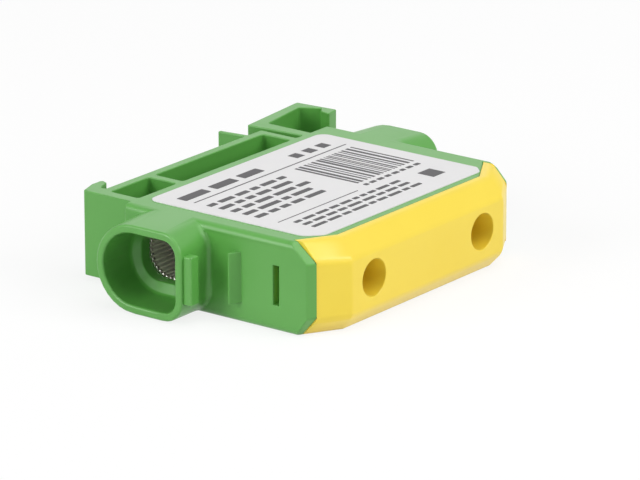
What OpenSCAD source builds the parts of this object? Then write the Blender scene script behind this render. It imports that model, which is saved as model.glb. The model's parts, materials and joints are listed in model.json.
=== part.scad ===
// Single-pole terminal block for a 35 mm rail, lying on its plain side.
// X runs along the wire, -Y is the screw side, +Y is the rail side, Z is up.

/* [Body] */
// Thickness of the block, measured along the rail
block_t = 15; // [14.5:0.5:18]
// Length between the outer faces of the two end walls
body_len = 53.2; // [52:0.2:58]
// Depth from the front of the cover to the back of the body
body_depth = 39.65; // [38.5:0.05:44]
// Thickness of the two broad side walls
side_wall = 1.6; // [1.2:0.1:2]
// Thickness of the end walls
end_wall = 2.8; // [2.4:0.1:3.2]
// Thickness of the wall between the bar and the rail foot
back_wall = 1.25; // [0.8:0.05:1.6]
// Radius along the edges of the end walls
edge_r = 1.15; // [0.6:0.05:1.4]

/* [Wire funnels] */
// How far a funnel stands out from its end wall
funnel_out = 7.1; // [5:0.1:9]
// Width of a funnel at its root
funnel_w = 17; // [16:0.25:18]
// How much lower the mouth is than the root, above and below
mouth_draft = 0.3; // [0.15:0.05:0.6]
// How far the middle of the mouth drops below the middle of the block
mouth_drop = 0.1; // [0:0.05:0.15]
// How far the mouth pulls in on the rail side
mouth_back = 0.5; // [0.2:0.05:0.8]
// How far the mouth flares towards the screw side
mouth_flare = 0.5; // [0.2:0.05:0.8]
// Radius of the fillet between a funnel and its end wall
root_r = 1.2; // [0.8:0.1:1.6]
// Thickness of the funnel's rim
funnel_rim = 1.35; // [1:0.05:1.6]
// Outer corner radius on the screw side of a funnel
funnel_corner_r = 3.7; // [2.5:0.1:5]
// Depth of the funnel's floor below the end wall's face
shoulder_inset = 0.8; // [0.4:0.1:1]
// Half of the width of the throat that leads into the bar
throat_half = 4.2; // [4.2:0.05:4.6]
// Corner radius of the throat on the rail side
throat_r = 3.4; // [2:0.1:3.8]
// Corner radius of the throat on the screw side
throat_front_r = 1.4; // [0.8:0.1:2]

/* [Terminal bar] */
// Radius of the wire bore
bore_r = 4.1; // [3.6:0.05:4.3]
// Number of clamping grooves along the wire bore
groove_n = 36; // [24:2:44]
// Depth of a clamping groove
groove_d = 0.35; // [0.2:0.05:0.5]
// Metal between the wire bore and the back of the bar
bar_back = 1.6; // [1.2:0.1:2]
// Depth of the bar from back to screw side
bar_depth = 20.8; // [18:0.2:22]
// Corner radius of the bar's section
bar_corner_r = 1; // [0.5:0.1:2]

/* [Clamp screws] */
// Distance between the two screws
screw_pitch = 28.6; // [26:0.2:32]
// Radius of a screw
screw_r = 4; // [3.5:0.1:4.1]
// Whole length of a screw
screw_len = 12; // [10:0.5:13]
// Length of the tapered point
screw_tip = 2; // [1:0.1:2.5]
// Radius at the end of the point
screw_tip_r = 2.6; // [2:0.1:3]
// Width across flats of the hexagon socket
hex_af = 4; // [3:0.5:4.5]
// Depth of the hexagon socket
hex_depth = 5; // [3:0.5:6]
// Play between a screw and its hole, on the radius
screw_play = 0.05; // [0.02:0.01:0.1]
// How far the opened screw stays back from the wire bore
screw_back = 0.5; // [0.2:0.1:1]

/* [Front cover] */
// Length of the cover's flat front
cover_flat = 40; // [36:0.5:44]
// How far the slanted corner faces fall back
cover_fall = 3; // [2:0.1:4]
// Green margin beyond each end of the cover
end_margin = 1.5; // [1.2:0.1:1.8]
// Depth of the slanted upper and lower edges
cover_edge_y = 2.3; // [1.5:0.1:2.8]
// Height of the slanted upper and lower edges
cover_edge_z = 2.6; // [1.5:0.1:3]
// Depth of the rim that shows on the broad sides
cover_rim = 3.6; // [3:0.1:4.5]
// Wall thickness of the cover
cover_wall = 1.6; // [1.2:0.1:2]
// Radius of the screwdriver holes
driver_r = 3; // [2.6:0.1:3.2]
// Wall of the tubes that guide the driver
guide_wall = 1.1; // [0.8:0.1:1.2]
// Distance that the guide tubes reach in from the front
guide_depth = 12; // [8:0.5:13]
// Gap between the cover and the body
seat_gap = 0.05; // [0.05:0.05:0.15]

/* [Cover latches] */
// Distance of the latch slot from the cover's front
latch_y = 9.2; // [8.5:0.1:11]
// Width of the latch slot
latch_w = 1.05; // [0.8:0.05:1.4]
// Height of the latch slot
latch_h = 6.4; // [5:0.2:7.4]
// How far the hook reaches into the slot
latch_hook = 1.4; // [1:0.1:1.8]

/* [End plates] */
// How far the end plates stand proud of the cover's slanted faces
plate_proud = 0.2; // [0.1:0.05:0.4]
// Depth of the diagonal cut at the front corners
plate_cut_y = 4; // [3:0.1:5]
// Height of the diagonal cut at the front corners
plate_cut_z = 2.85; // [2:0.05:3.2]

/* [Spacer ribs] */
// Height of the end wall's rib
rib_h = 8.2; // [6:0.2:10]
// How far the end wall's rib stands out
rib_out = 1.8; // [1:0.1:2.2]
// Width of the end wall's rib
rib_w = 1.3; // [1:0.1:2]
// Distance of the end wall's rib from the cover's front
rib_y = 16.4; // [14:0.1:18]
// How far the funnel's rib stands out
mouth_rib_out = 1.5; // [1:0.1:2]
// Height of the funnel's rib
mouth_rib_h = 7.8; // [6:0.2:9]
// Width of the funnel's rib
mouth_rib_w = 1.95; // [1.5:0.05:2.4]
// Distance of the funnel's rib from the mouth
mouth_rib_in = 0.6; // [0.3:0.1:1]

/* [Rail foot] */
// Height of the foot's underside above the block's underside
foot_lift = 0.9; // [0.4:0.1:1.4]
// Width of the mounting rail
rail_w = 35; // [35:0.1:35.4]
// Play of the rail in the foot
rail_play = 0.6; // [0.3:0.1:1]
// Distance of the rail's middle from the middle of the body
rail_shift = -4.5; // [-5:0.1:-4]
// Depth of the two open pockets behind the body
pocket_depth = 5.6; // [5:0.1:7]
// Thickness of the wall that faces the rail
rail_wall = 1.65; // [1.2:0.05:2.2]
// Thickness of the other walls of the foot
foot_wall = 1.6; // [1.2:0.1:2]
// Length of the small pocket
small_pocket = 9.5; // [8:0.5:12]
// Corner radius inside the pockets
pocket_r = 0.5; // [0.3:0.1:1]
// Thickness of the fixed hook's post
post_t = 2.7; // [2.2:0.1:3.2]
// Gap under the hooks, for the edge of the rail
lip_gap = 1.05; // [1.05:0.05:1.4]
// How much that gap widens towards the fixed hook's tip
lip_open = 0.9; // [0.4:0.1:1.2]
// Thickness of the fixed hook's lip at its tip
lip_t = 1.35; // [1:0.05:1.8]
// Reach of the fixed hook's lip over the rail
lip_reach = 3; // [2.4:0.1:3.5]
// Thickness of the springy catch fin
fin_t = 0.8; // [0.6:0.1:1.2]
// Length of the springy catch fin
fin_len = 5.2; // [4.5:0.1:6]
// How far the catch fin leans over the rail
fin_lean = 0.65; // [0.3:0.05:0.9]
// Reach of the barb on the catch fin
barb_reach = 1.1; // [0.8:0.1:1.5]
// Height of the barb, in the middle of the thickness
barb_h = 7; // [5:0.5:9]

/* [Spring loop] */
// Distance from the catch fin to the end of the pockets
fin_to_end = 4.3; // [3:0.1:5]
// Gap beside the root of the spring arm
spring_gap = 1.8; // [1.4:0.1:2.2]
// Thickness of the spring arm at its root
arm_t = 2; // [1.6:0.1:2.6]
// How far the arm's outer face leans over the gap
arm_lean = 0.9; // [0.4:0.1:1.2]
// How far the loop's near corner stands past the rail wall
loop_out = 3.6; // [3:0.1:4.5]
// Length of the loop's outer wall
loop_len = 15.35; // [12:0.05:17]
// Rise of the outer wall along that length
loop_rise = 1.55; // [1:0.05:2]
// Length of the leg that turns back towards the body
leg_len = 7.85; // [6:0.05:9]
// How far the leg leans outwards
leg_lean = 0.65; // [0.3:0.05:1]
// Thickness of the loop's outer wall
loop_t = 2.1; // [1.6:0.1:2.6]
// Thickness of the leg where it is thinnest
leg_t = 1; // [0.8:0.1:1.4]
// Thickness of the leg's free end
toe_t = 2.8; // [2.2:0.1:3.4]
// Length of the leg's free end
toe_len = 1.9; // [1.5:0.1:2.5]

/* [Label] */
// Length of the label
label_len = 45.3; // [40:0.1:46]
// Depth of the label
label_depth = 33; // [28:0.5:34]
// Distance of the label from the cover's front
label_y = 4.75; // [4.3:0.05:6]
// Sideways place of the label's middle
label_shift = -0.45; // [-0.6:0.05:0.6]
// Corner radius of the label
label_r = 1.8; // [1:0.1:3]
// Cut at the label's two front corners
label_cut = 2.4; // [1:0.1:3]
// Thickness of the label
label_t = 0.15; // [0.1:0.05:0.3]

/* [Hidden] */

$fn = 64;
arc_steps = 8;
over = 1;
fit_gap = 0.1;
edge_small = 0.4;
edge_fine = 0.3;
root_steps = 3;
post_drop = 1;
lip_slope = 3.2;
lip_slope_r = 1;
lip_nose = 0.4;
toe_skew = 0.45;
arc_slack = 0.01;

mid_z = block_t/2;
end_x = body_len/2;
cavity_x = end_x - end_wall;
cavity_z = side_wall;
cavity_y = body_depth - back_wall;

bar_half = cavity_x - fit_gap;
bar_z = cavity_z + fit_gap;
bar_y1 = cavity_y - fit_gap;
bar_y0 = bar_y1 - bar_depth;
wire_y = bar_y1 - bar_back - bore_r;

funnel_x = end_x + funnel_out;
shoulder_x = end_x - shoulder_inset;
funnel_y1 = wire_y + mid_z;
funnel_y0 = funnel_y1 - funnel_w;
root_x = -end_x + edge_r;
mouth_y1 = funnel_y1 - mouth_back;
mouth_y0 = funnel_y0 - mouth_flare;
mouth_z = mid_z - mouth_drop;

cover_x = end_x - end_margin;
cover_angle = atan(cover_fall/(cover_x - cover_flat/2));
cover_z = cavity_z + seat_gap;
tongue_y1 = bar_y0 - seat_gap;

screw_rest_y = wire_y - bore_r - screw_back - screw_len;

pocket_y1 = body_depth + pocket_depth;
rail_y = pocket_y1 + rail_wall;
rail_x0 = rail_shift - (rail_w + rail_play)/2;
rail_x1 = rail_shift + (rail_w + rail_play)/2;
post_x = rail_x0 - post_t;
small_x0 = post_x + foot_wall + edge_small;
small_x1 = small_x0 + small_pocket;
long_x0 = small_x1 + foot_wall;
box_x1 = rail_x1 + fin_to_end;
long_x1 = box_x1 - foot_wall;
arm_x0 = box_x1 + spring_gap;
arm_x1 = arm_x0 + arm_t;
loop_x0 = arm_x0 - arm_lean;
loop_y0 = rail_y + loop_out;
loop_x1 = loop_x0 + loop_len;
loop_y1 = loop_y0 + loop_rise;
toe_x1 = loop_x1 + leg_lean;
toe_y0 = loop_y1 - leg_len;

// The origin is at the middle of the underside of the whole part
centre_x = (toe_x1 - funnel_x)/2;
centre_y = max(loop_y1, rail_y + fin_len)/2;

green = "#6BA857";
yellow = "#F2D95A";
aluminium = "#B9BBBD";
steel = "#8E9194";
paper = "#EDECEC";

function unit(v) = v/norm(v);

// Arc that rounds corner b, between the corners a and c
function corner_arc(a, b, c) =
    let (
        p = [b.x, b.y],
        u = unit([a.x, a.y] - p),
        v = unit([c.x, c.y] - p),
        half = acos(u*v)/2,
        m = p + unit(u + v)*b.z/sin(half),
        s = p + u*b.z/tan(half) - m,
        e = p + v*b.z/tan(half) - m,
        turn = atan2(s.x*e.y - s.y*e.x, s*e)
    )
    b.z == 0 ? [p] : [
        for (i = [0:arc_steps])
            let (t = turn*i/arc_steps)
            m + [s.x*cos(t) - s.y*sin(t), s.x*sin(t) + s.y*cos(t)]
    ];

// Corner list of [x, y, radius] turned into an outline
function rounded(c) =
    let (n = len(c))
    [for (i = [0:n - 1]) each corner_arc(c[(i + n - 1)%n], c[i], c[(i + 1)%n])];

function rect_corners(x0, y0, x1, y1, r) = [[x0, y0, r], [x1, y0, r], [x1, y1, r], [x0, y1, r]];

// Corners of a D shape from y0 to y1, round on the rail side, with its middle at height z
function wire_corners(y0, y1, z, half, front_r, back_r) =
    [[y0, z - half, front_r], [y1, z - half, back_r], [y1, z + half, back_r], [y0, z + half, front_r]];

// Ring round the left funnel at x, with its screw side d further out
function funnel_ring(x, d) =
    let (
        s = (root_x - x)/(root_x + funnel_x),
        half = mid_z - s*mouth_draft,
        y0 = funnel_y0 - s*mouth_flare - d,
        y1 = funnel_y1 - s*mouth_back,
        z = mid_z - s*mouth_drop
    )
    [for (p = rounded(wire_corners(y0, y1, z, half, funnel_corner_r + d, half - arc_slack))) [x, p.x, p.y]];

// Outline of the cover's front in plan, moved inwards by d
function cover_outline(d) =
    let (
        x = cover_flat/2 - d*tan(cover_angle/2),
        y = cover_fall + d/cos(cover_angle),
        far = body_depth
    )
    [[-cover_x, y], [-x, d], [x, d], [cover_x, y], [cover_x, far], [-cover_x, far]];

module place() {
    translate([-centre_x, -centre_y, 0]) children();
}

module both_ends() {
    children();
    mirror([1, 0, 0]) children();
}

// Section in Y and Z, drawn out along X
module along_x(x0, x1) {
    translate([x0, 0, 0]) rotate([90, 0, 90]) linear_extrude(x1 - x0) children();
}

// Section in X and Z, drawn out along Y
module along_y(y0, y1) {
    translate([0, y1, 0]) rotate([90, 0, 0]) linear_extrude(y1 - y0) children();
}

module rod_y(x, y0, y1, r) {
    translate([x, y0, mid_z]) rotate([-90, 0, 0]) cylinder(r = r, h = y1 - y0);
}

module box(x0, y0, z0, x1, y1, z1) {
    translate([x0, y0, z0]) cube([x1 - x0, y1 - y0, z1 - z0]);
}

// Inside of a funnel
module mouth_section() {
    half = mid_z - mouth_draft - funnel_rim;
    polygon(rounded(wire_corners(mouth_y0 + funnel_rim, mouth_y1 - funnel_rim, mouth_z, half,
        funnel_corner_r - funnel_rim, half - arc_slack)));
}

// Inside of a throat
module throat_section() {
    polygon(rounded(wire_corners(wire_y - throat_half, wire_y + throat_half, mid_z, throat_half,
        throat_front_r, throat_r)));
}

// Closed skin over rings of equal length, in the order of their X
module skin(rings) {
    n = len(rings[0]);
    last = len(rings) - 1;
    polyhedron(
        points = [for (ring = rings) each ring],
        faces = [
            [for (j = [0:n - 1]) j],
            [for (j = [n - 1:-1:0]) last*n + j],
            for (i = [0:last - 1], j = [0:n - 1])
                let (a = i*n + j, b = i*n + (j + 1)%n)
                each [[a, a + n, b + n], [a, b + n, b]]
        ]
    );
}

// Tapered outside of the left funnel, with the fillet at its root on the screw side
module funnel() {
    skin([
        funnel_ring(-funnel_x, 0),
        for (i = [0:root_steps])
            let (t = 90*i/root_steps)
            funnel_ring(-end_x - root_r*(1 - sin(t)), root_r*(1 - cos(t))),
        funnel_ring(root_x, root_r)
    ]);
}

// Long bar with its front at Y 0 and slanted upper and lower front edges
module front_slab(edge_y, edge_z) {
    far = body_len + body_depth;
    along_x(-body_len, body_len) polygon([
        [0, edge_z],
        [edge_y, 0],
        [far, 0],
        [far, block_t],
        [edge_y, block_t],
        [0, block_t - edge_z]
    ]);
}

// What lies behind the two slanted corner faces of the front
module both_slants() {
    intersection() {
        translate([cover_flat/2, 0, 0]) rotate([0, 0, cover_angle]) children();
        translate([-cover_flat/2, 0, 0]) rotate([0, 0, -cover_angle]) children();
    }
}

module body_block() {
    intersection() {
        linear_extrude(block_t) polygon(rounded([
            [-end_x, 0, 0],
            [end_x, 0, 0],
            [end_x, body_depth, edge_small],
            [-end_x, body_depth, edge_small]
        ]));
        along_y(0, body_depth) polygon(rounded(rect_corners(-end_x, 0, end_x, block_t, edge_r)));
        translate([0, -plate_proud, 0]) both_slants() front_slab(plate_cut_y, plate_cut_z);
    }
}

// Post, hook, rail wall, catch fin and spring loop as one outline
module foot_outline() {
    root_y = body_depth - back_wall/2;
    lip_x = rail_x0 + lip_reach;
    lip_y0 = rail_y + lip_gap + lip_open;
    lip_y1 = lip_y0 + lip_t;
    fin_x = rail_x1 - fin_lean;
    fin_y1 = rail_y + fin_len;
    toe_x0 = toe_x1 - toe_t;
    toe_y1 = toe_y0 + toe_len - toe_skew;
    leg_x = toe_x1 - leg_t;
    polygon(rounded([
        [post_x, root_y, 0],
        [post_x, lip_y1 - post_drop, edge_small],
        [post_x + lip_slope, lip_y1, lip_slope_r],
        [lip_x - lip_nose, lip_y1, edge_fine],
        [lip_x, lip_y1 - lip_nose, edge_fine],
        [lip_x - lip_nose, lip_y0, edge_fine],
        [rail_x0, rail_y + lip_gap, edge_small],
        [rail_x0, rail_y, edge_small],
        [rail_x1, rail_y, edge_fine],
        [fin_x, fin_y1, edge_fine],
        [fin_x + fin_t, fin_y1, edge_fine],
        [rail_x1 + fin_t, rail_y, edge_fine],
        [box_x1, rail_y, edge_small],
        [box_x1, body_depth, edge_small],
        [arm_x0, body_depth, edge_small],
        [loop_x0, loop_y0, edge_fine],
        [loop_x1, loop_y1, edge_small],
        [toe_x1, toe_y0, edge_fine],
        [toe_x0, toe_y0 - toe_skew, edge_fine],
        [toe_x0 + toe_skew, toe_y1, edge_fine],
        [leg_x, toe_y1 + leg_t, edge_fine],
        [loop_x1 - loop_t, loop_y1 - loop_t, pocket_r],
        [arm_x1, loop_y0 - loop_t, pocket_r],
        [arm_x1, root_y, 0]
    ]));
}

module pocket(x0, x1) {
    translate([0, 0, -over]) linear_extrude(block_t + 2*over)
        polygon(rounded(rect_corners(x0, body_depth, x1, pocket_y1, pocket_r)));
}

module rail_foot() {
    difference() {
        translate([0, 0, foot_lift]) linear_extrude(block_t - foot_lift) foot_outline();
        pocket(small_x0, small_x1);
        pocket(long_x0, long_x1);
    }
    // Barb that holds the edge of the rail
    translate([0, 0, mid_z - barb_h/2]) linear_extrude(barb_h) polygon([
        [rail_x1 + fin_t/2, rail_y + lip_gap],
        [rail_x1 - barb_reach, rail_y + lip_gap],
        [rail_x1 - fin_lean, rail_y + fin_len - edge_small],
        [rail_x1 - fin_lean + fin_t/2, rail_y + fin_len - edge_small]
    ]);
}

module spacer_ribs() {
    mouth_x = -funnel_x + mouth_rib_in;
    box(mouth_x, mouth_y0 - mouth_rib_out, mouth_z - mouth_rib_h/2,
        mouth_x + mouth_rib_w, mouth_y0 + funnel_rim, mouth_z + mouth_rib_h/2);
    box(-end_x - rib_out, rib_y, mid_z - rib_h/2, -end_x + end_wall/2, rib_y + rib_w, mid_z + rib_h/2);
}

// Place of the cover's rim, cut from the front of the body
module cover_seat() {
    difference() {
        box(-cover_x - seat_gap, -over, -over, cover_x + seat_gap, latch_y - over/2, block_t + over);
        translate([0, 0, -2*over]) linear_extrude(block_t + 4*over)
            polygon(cover_outline(cover_rim + seat_gap));
        // Behind the slanted corners the end walls stay whole
        both_ends() box(-end_x, cover_fall + (cover_rim + seat_gap)/cos(cover_angle), -over,
            -cavity_x, latch_y, block_t + over);
    }
}

module latch_slot() {
    box(-end_x - over, latch_y, mid_z - latch_h/2, -cavity_x + over, latch_y + latch_w, mid_z + latch_h/2);
}

module housing() {
    color(green) place() difference() {
        union() {
            body_block();
            both_ends() funnel();
            rail_foot();
            both_ends() spacer_ribs();
        }
        cover_seat();
        box(-cavity_x, -over, cavity_z, cavity_x, cavity_y, block_t - cavity_z);
        both_ends() {
            along_x(-funnel_x - over, -shoulder_x) mouth_section();
            along_x(-end_x, -cavity_x + over) throat_section();
            latch_slot();
        }
    }
}

module cover_cap() {
    difference() {
        intersection() {
            front_slab(cover_edge_y, cover_edge_z);
            both_slants() front_slab(cover_edge_y, cover_edge_z);
            box(-cover_x, -over, -over, cover_x, latch_y, block_t + over);
        }
        translate([0, 0, -over]) linear_extrude(block_t + 2*over) polygon(cover_outline(cover_rim));
        translate([0, 0, cover_z + cover_wall]) linear_extrude(block_t - 2*cover_z - 2*cover_wall)
            polygon(cover_outline(cover_wall));
    }
}

// Upper and lower tongues that reach in to the terminal bar
module cover_tongues() {
    reach_x = cavity_x - seat_gap;
    for (z = [cover_z, block_t - cover_z - cover_wall])
        intersection() {
            translate([0, 0, z]) linear_extrude(cover_wall) polygon(cover_outline(cover_wall));
            box(-reach_x, 0, 0, reach_x, tongue_y1, block_t);
        }
}

module cover_latches() {
    leg_x = cavity_x - seat_gap;
    z0 = mid_z - latch_h/2 + seat_gap;
    z1 = mid_z + latch_h/2 - seat_gap;
    leg_y0 = cover_fall;
    both_ends() {
        box(-leg_x, leg_y0, z0, -leg_x + cover_wall, latch_y + latch_w + cover_wall, z1);
        translate([0, 0, z0]) linear_extrude(z1 - z0) polygon([
            [-leg_x + cover_wall/2, latch_y + seat_gap],
            [-leg_x - latch_hook, latch_y + seat_gap],
            [-leg_x - latch_hook, latch_y + latch_w/2],
            [-leg_x, latch_y + latch_w - seat_gap],
            [-leg_x + cover_wall/2, latch_y + latch_w - seat_gap]
        ]);
    }
}

module front_cover() {
    color(yellow) place() difference() {
        union() {
            cover_cap();
            cover_tongues();
            cover_latches();
            for (side = [-1, 1])
                rod_y(side*screw_pitch/2, cover_wall/2, guide_depth, driver_r + guide_wall);
        }
        for (side = [-1, 1])
            rod_y(side*screw_pitch/2, -over, guide_depth + over, driver_r);
    }
}

// Star whose points cut the clamping grooves into the wall of the wire bore
module groove_star() {
    translate([wire_y, mid_z]) polygon([
        for (i = [0:2*groove_n - 1])
            let (r = i%2 == 0 ? bore_r + groove_d : bore_r - groove_d, t = 180*i/groove_n)
            [r*cos(t), r*sin(t)]
    ]);
}

module terminal_bar() {
    color(aluminium) place() difference() {
        along_x(-bar_half, bar_half)
            polygon(rounded(rect_corners(bar_y0, bar_z, bar_y1, block_t - bar_z, bar_corner_r)));
        translate([-bar_half - over, wire_y, mid_z]) rotate([0, 90, 0])
            cylinder(r = bore_r, h = 2*bar_half + 2*over);
        along_x(-bar_half - over, bar_half + over) groove_star();
        for (side = [-1, 1])
            rod_y(side*screw_pitch/2, bar_y0 - over, wire_y, screw_r + screw_play);
    }
}

module clamp_screw(side) {
    color(steel) place() translate([side*screw_pitch/2, screw_rest_y, mid_z]) rotate([-90, 0, 0])
        difference() {
            union() {
                cylinder(r = screw_r, h = screw_len - screw_tip);
                translate([0, 0, screw_len - screw_tip])
                    cylinder(r1 = screw_r, r2 = screw_tip_r, h = screw_tip);
            }
            translate([0, 0, -over])
                cylinder(r = hex_af/2/cos(30), h = hex_depth + over, $fn = 6);
        }
}

module clamp_screw_left() {
    clamp_screw(-1);
}

module clamp_screw_right() {
    clamp_screw(1);
}

module label() {
    x0 = label_shift - label_len/2;
    x1 = label_shift + label_len/2;
    y1 = label_y + label_depth;
    color(paper) place() translate([0, 0, block_t]) linear_extrude(label_t) polygon(rounded([
        [x0, label_y + label_cut, label_r],
        [x0 + label_cut, label_y, label_r],
        [x1 - label_cut, label_y, label_r],
        [x1, label_y + label_cut, label_r],
        [x1, y1, label_r],
        [x0, y1, label_r]
    ]));
}

housing();
front_cover();
terminal_bar();
clamp_screw_left();
clamp_screw_right();
label();
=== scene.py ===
"""Dressed model of a rail-mounted terminal block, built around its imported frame."""

from __future__ import annotations

import json
import logging
import math
import random
from contextlib import contextmanager
from dataclasses import dataclass, field
from enum import Enum
from typing import Callable, ClassVar, Iterable, Iterator

import bmesh
import bpy
from mathutils import Matrix, Vector


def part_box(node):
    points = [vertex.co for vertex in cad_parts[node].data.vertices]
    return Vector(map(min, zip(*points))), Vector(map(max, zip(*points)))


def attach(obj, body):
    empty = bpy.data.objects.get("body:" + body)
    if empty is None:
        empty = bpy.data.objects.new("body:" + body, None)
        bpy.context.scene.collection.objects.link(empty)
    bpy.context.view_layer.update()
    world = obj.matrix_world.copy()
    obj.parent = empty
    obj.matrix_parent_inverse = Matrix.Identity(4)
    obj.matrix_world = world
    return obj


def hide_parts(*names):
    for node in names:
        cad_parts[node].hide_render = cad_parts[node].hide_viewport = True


MM = 0.001
# Edges sharper than the first angle are rounded, those below the second are shaded smooth, and faces
# within the third are one flat face.
SHARP_ANGLE = math.radians(25)
SMOOTH_ANGLE = math.radians(35)
FLAT_ANGLE = math.radians(0.5)
MERGE_MM = 0.001
HOLE_SIDES = 4
SEED = 7
# Parts of a face's normal along an axis, from barely turned that way to pointing along it.
TURNED = 0.1
LEANING = 0.2
FACING = 0.75
POINTING = 0.9

Piece = bpy.types.Object
Tree = bpy.types.NodeTree
Socket = bpy.types.NodeSocket
log = logging.getLogger("terminal_block")
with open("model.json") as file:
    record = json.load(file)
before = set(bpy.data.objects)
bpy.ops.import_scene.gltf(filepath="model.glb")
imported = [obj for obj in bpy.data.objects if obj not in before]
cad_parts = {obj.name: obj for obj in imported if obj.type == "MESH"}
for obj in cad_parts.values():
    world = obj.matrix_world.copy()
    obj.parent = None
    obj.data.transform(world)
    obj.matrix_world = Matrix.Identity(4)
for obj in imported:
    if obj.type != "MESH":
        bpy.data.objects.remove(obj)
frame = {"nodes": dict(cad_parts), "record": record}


class Body(Enum):
    """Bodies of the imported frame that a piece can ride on."""

    BLOCK = "block"
    LEFT_SCREW = "left_screw"
    RIGHT_SCREW = "right_screw"


class Axis(Enum):
    """Axes that a metal is drawn or turned along."""

    X = 0
    Y = 1


class Slot(Enum):
    """Material slots of the record."""

    GREEN = "green_polyamide"
    YELLOW = "yellow_polyamide"
    BAR = "tinned_aluminium"
    SCREW = "zinc_plated_steel"
    LABEL = "label_film"


def linear(code: str) -> tuple[float, float, float, float]:
    """Turn an sRGB hex colour to linear.

    Args:
        code: Six hex digits.

    Returns:
        Red, green, blue and an alpha of one, for a shader socket.
    """
    parts = [int(code[i:i + 2], 16) / 255 for i in (0, 2, 4)]
    made = [p / 12.92 if p <= 0.04045 else ((p + 0.055) / 1.055) ** 2.4 for p in parts]
    return (*made, 1.0)


def per_metre(size_mm: float) -> float:
    """Texture scale for a pattern of this size in millimetres."""
    return 1 / (size_mm * MM)


def add_node(tree: Tree, kind: str, inputs: dict | None = None, **settings: object) -> bpy.types.Node:
    """Add a node with its settings and inputs.

    Args:
        tree: Node tree that gets the node.
        kind: Node type.
        inputs: Input socket to a constant value, or to the output socket that feeds it.
        settings: Properties of the node.

    Returns:
        The new node.
    """
    node = tree.nodes.new(kind)
    for name, value in settings.items():
        setattr(node, name, value)
    for key, value in (inputs or {}).items():
        if isinstance(value, Socket):
            tree.links.new(value, node.inputs[key])
        else:
            node.inputs[key].default_value = value
    return node


def noise(tree: Tree, place: Socket, scale: float, layers: float, gain: float) -> Socket:
    """Make a cloudy pattern from zero to one."""
    inputs = {"Vector": place, "Scale": scale, "Detail": layers, "Roughness": gain}
    return add_node(tree, "ShaderNodeTexNoise", inputs).outputs["Fac"]


def mix(tree: Tree, factor: Socket, first: object, second: object) -> Socket:
    """Mix two colours by a factor from zero to one."""
    inputs = {"Factor": factor, "A": first, "B": second}
    return add_node(tree, "ShaderNodeMix", inputs, data_type="RGBA").outputs["Result"]


def spread(tree: Tree, value: Socket, low: float, high: float) -> Socket:
    """Spread a value from zero to one over another range."""
    inputs = {"Value": value, "To Min": low, "To Max": high}
    return add_node(tree, "ShaderNodeMapRange", inputs).outputs["Result"]


def work_out(tree: Tree, operation: str, *terms: float | Socket) -> Socket:
    """Work out a number from constants and sockets."""
    return add_node(tree, "ShaderNodeMath", dict(enumerate(terms)), operation=operation).outputs[0]


def emboss(tree: Tree, pattern: Socket, strength: float, height_mm: float) -> Socket:
    """Turn a pattern to a fine relief of the surface."""
    inputs = {"Height": pattern, "Strength": strength, "Distance": height_mm * MM}
    return add_node(tree, "ShaderNodeBump", inputs).outputs["Normal"]


def new_material(name: str) -> bpy.types.Material:
    """Make an empty node material.

    Args:
        name: Name of the material.

    Returns:
        The material, with no nodes yet.
    """
    material = bpy.data.materials.new(name)
    material.use_nodes = True
    material.node_tree.nodes.clear()
    return material


def only(obj: Piece) -> None:
    """Make one object the only selected one, and the active one.

    Args:
        obj: The object that the next operators act on.
    """
    bpy.ops.object.select_all(action="DESELECT")
    obj.select_set(True)
    bpy.context.view_layer.objects.active = obj


@contextmanager
def editing(obj: Piece) -> Iterator[bmesh.types.BMesh]:
    """Hold an object in edit mode.

    Args:
        obj: The mesh object to edit.

    Returns:
        Its edit mesh, for selecting by place or normal.
    """
    only(obj)
    bpy.ops.object.mode_set(mode="EDIT")
    yield bmesh.from_edit_mesh(obj.data)
    bpy.ops.object.mode_set(mode="OBJECT")


def choose(parts: Iterable[bmesh.types.BMVert | bmesh.types.BMEdge | bmesh.types.BMFace]) -> None:
    """Select parts of the mesh that is being edited, and nothing else.

    Args:
        parts: Corners, edges or faces.
    """
    bpy.ops.mesh.select_all(action="DESELECT")
    for part in parts:
        part.select_set(True)


def apply_modifier(obj: Piece, kind: str, **settings: object) -> None:
    """Add a modifier and apply it at once.

    Args:
        obj: The mesh object to change.
        kind: Modifier type.
        settings: Properties of the modifier.
    """
    only(obj)
    modifier = obj.modifiers.new(kind.lower(), kind)
    for name, value in settings.items():
        setattr(modifier, name, value)
    bpy.ops.object.modifier_apply(modifier=modifier.name)


def folded(vert: bmesh.types.BMVert) -> bool:
    """Tell a corner where an outline runs out and straight back.

    Args:
        vert: The corner.

    Returns:
        True for the tip of such a spike.
    """
    if len(vert.link_edges) != 2:
        return False
    first, second = ((edge.other_vert(vert).co - vert.co).normalized() for edge in vert.link_edges)
    return first.dot(second) > math.cos(FLAT_ANGLE)


def copy_of_node(node: str, name: str) -> Piece:
    """Copy a CAD node's mesh into a new piece, as one closed skin.

    Args:
        node: Name of the node.
        name: Name of the new piece.

    Returns:
        The new piece, at the origin.
    """
    obj = bpy.data.objects.new(name, frame["nodes"][node].data.copy())
    bpy.context.collection.objects.link(obj)
    obj.data.name = name
    obj.data.materials.clear()
    with editing(obj):
        bpy.ops.mesh.customdata_custom_splitnormals_clear()
        bpy.ops.mesh.select_all(action="SELECT")
        bpy.ops.mesh.remove_doubles(threshold=MERGE_MM * MM)
        bpy.ops.mesh.dissolve_limited(angle_limit=FLAT_ANGLE)
    with editing(obj) as shape:
        choose(vert for vert in shape.verts if folded(vert))
        bpy.ops.mesh.dissolve_verts()
    return obj


def drop_slivers(obj: Piece) -> None:
    """Drop the faces of no size that a rounding leaves, and close what that opens.

    Args:
        obj: The piece.
    """
    with editing(obj):
        bpy.ops.mesh.select_all(action="SELECT")
        bpy.ops.mesh.dissolve_degenerate(threshold=MERGE_MM * MM)
        bpy.ops.mesh.fill_holes(sides=HOLE_SIDES)


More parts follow.
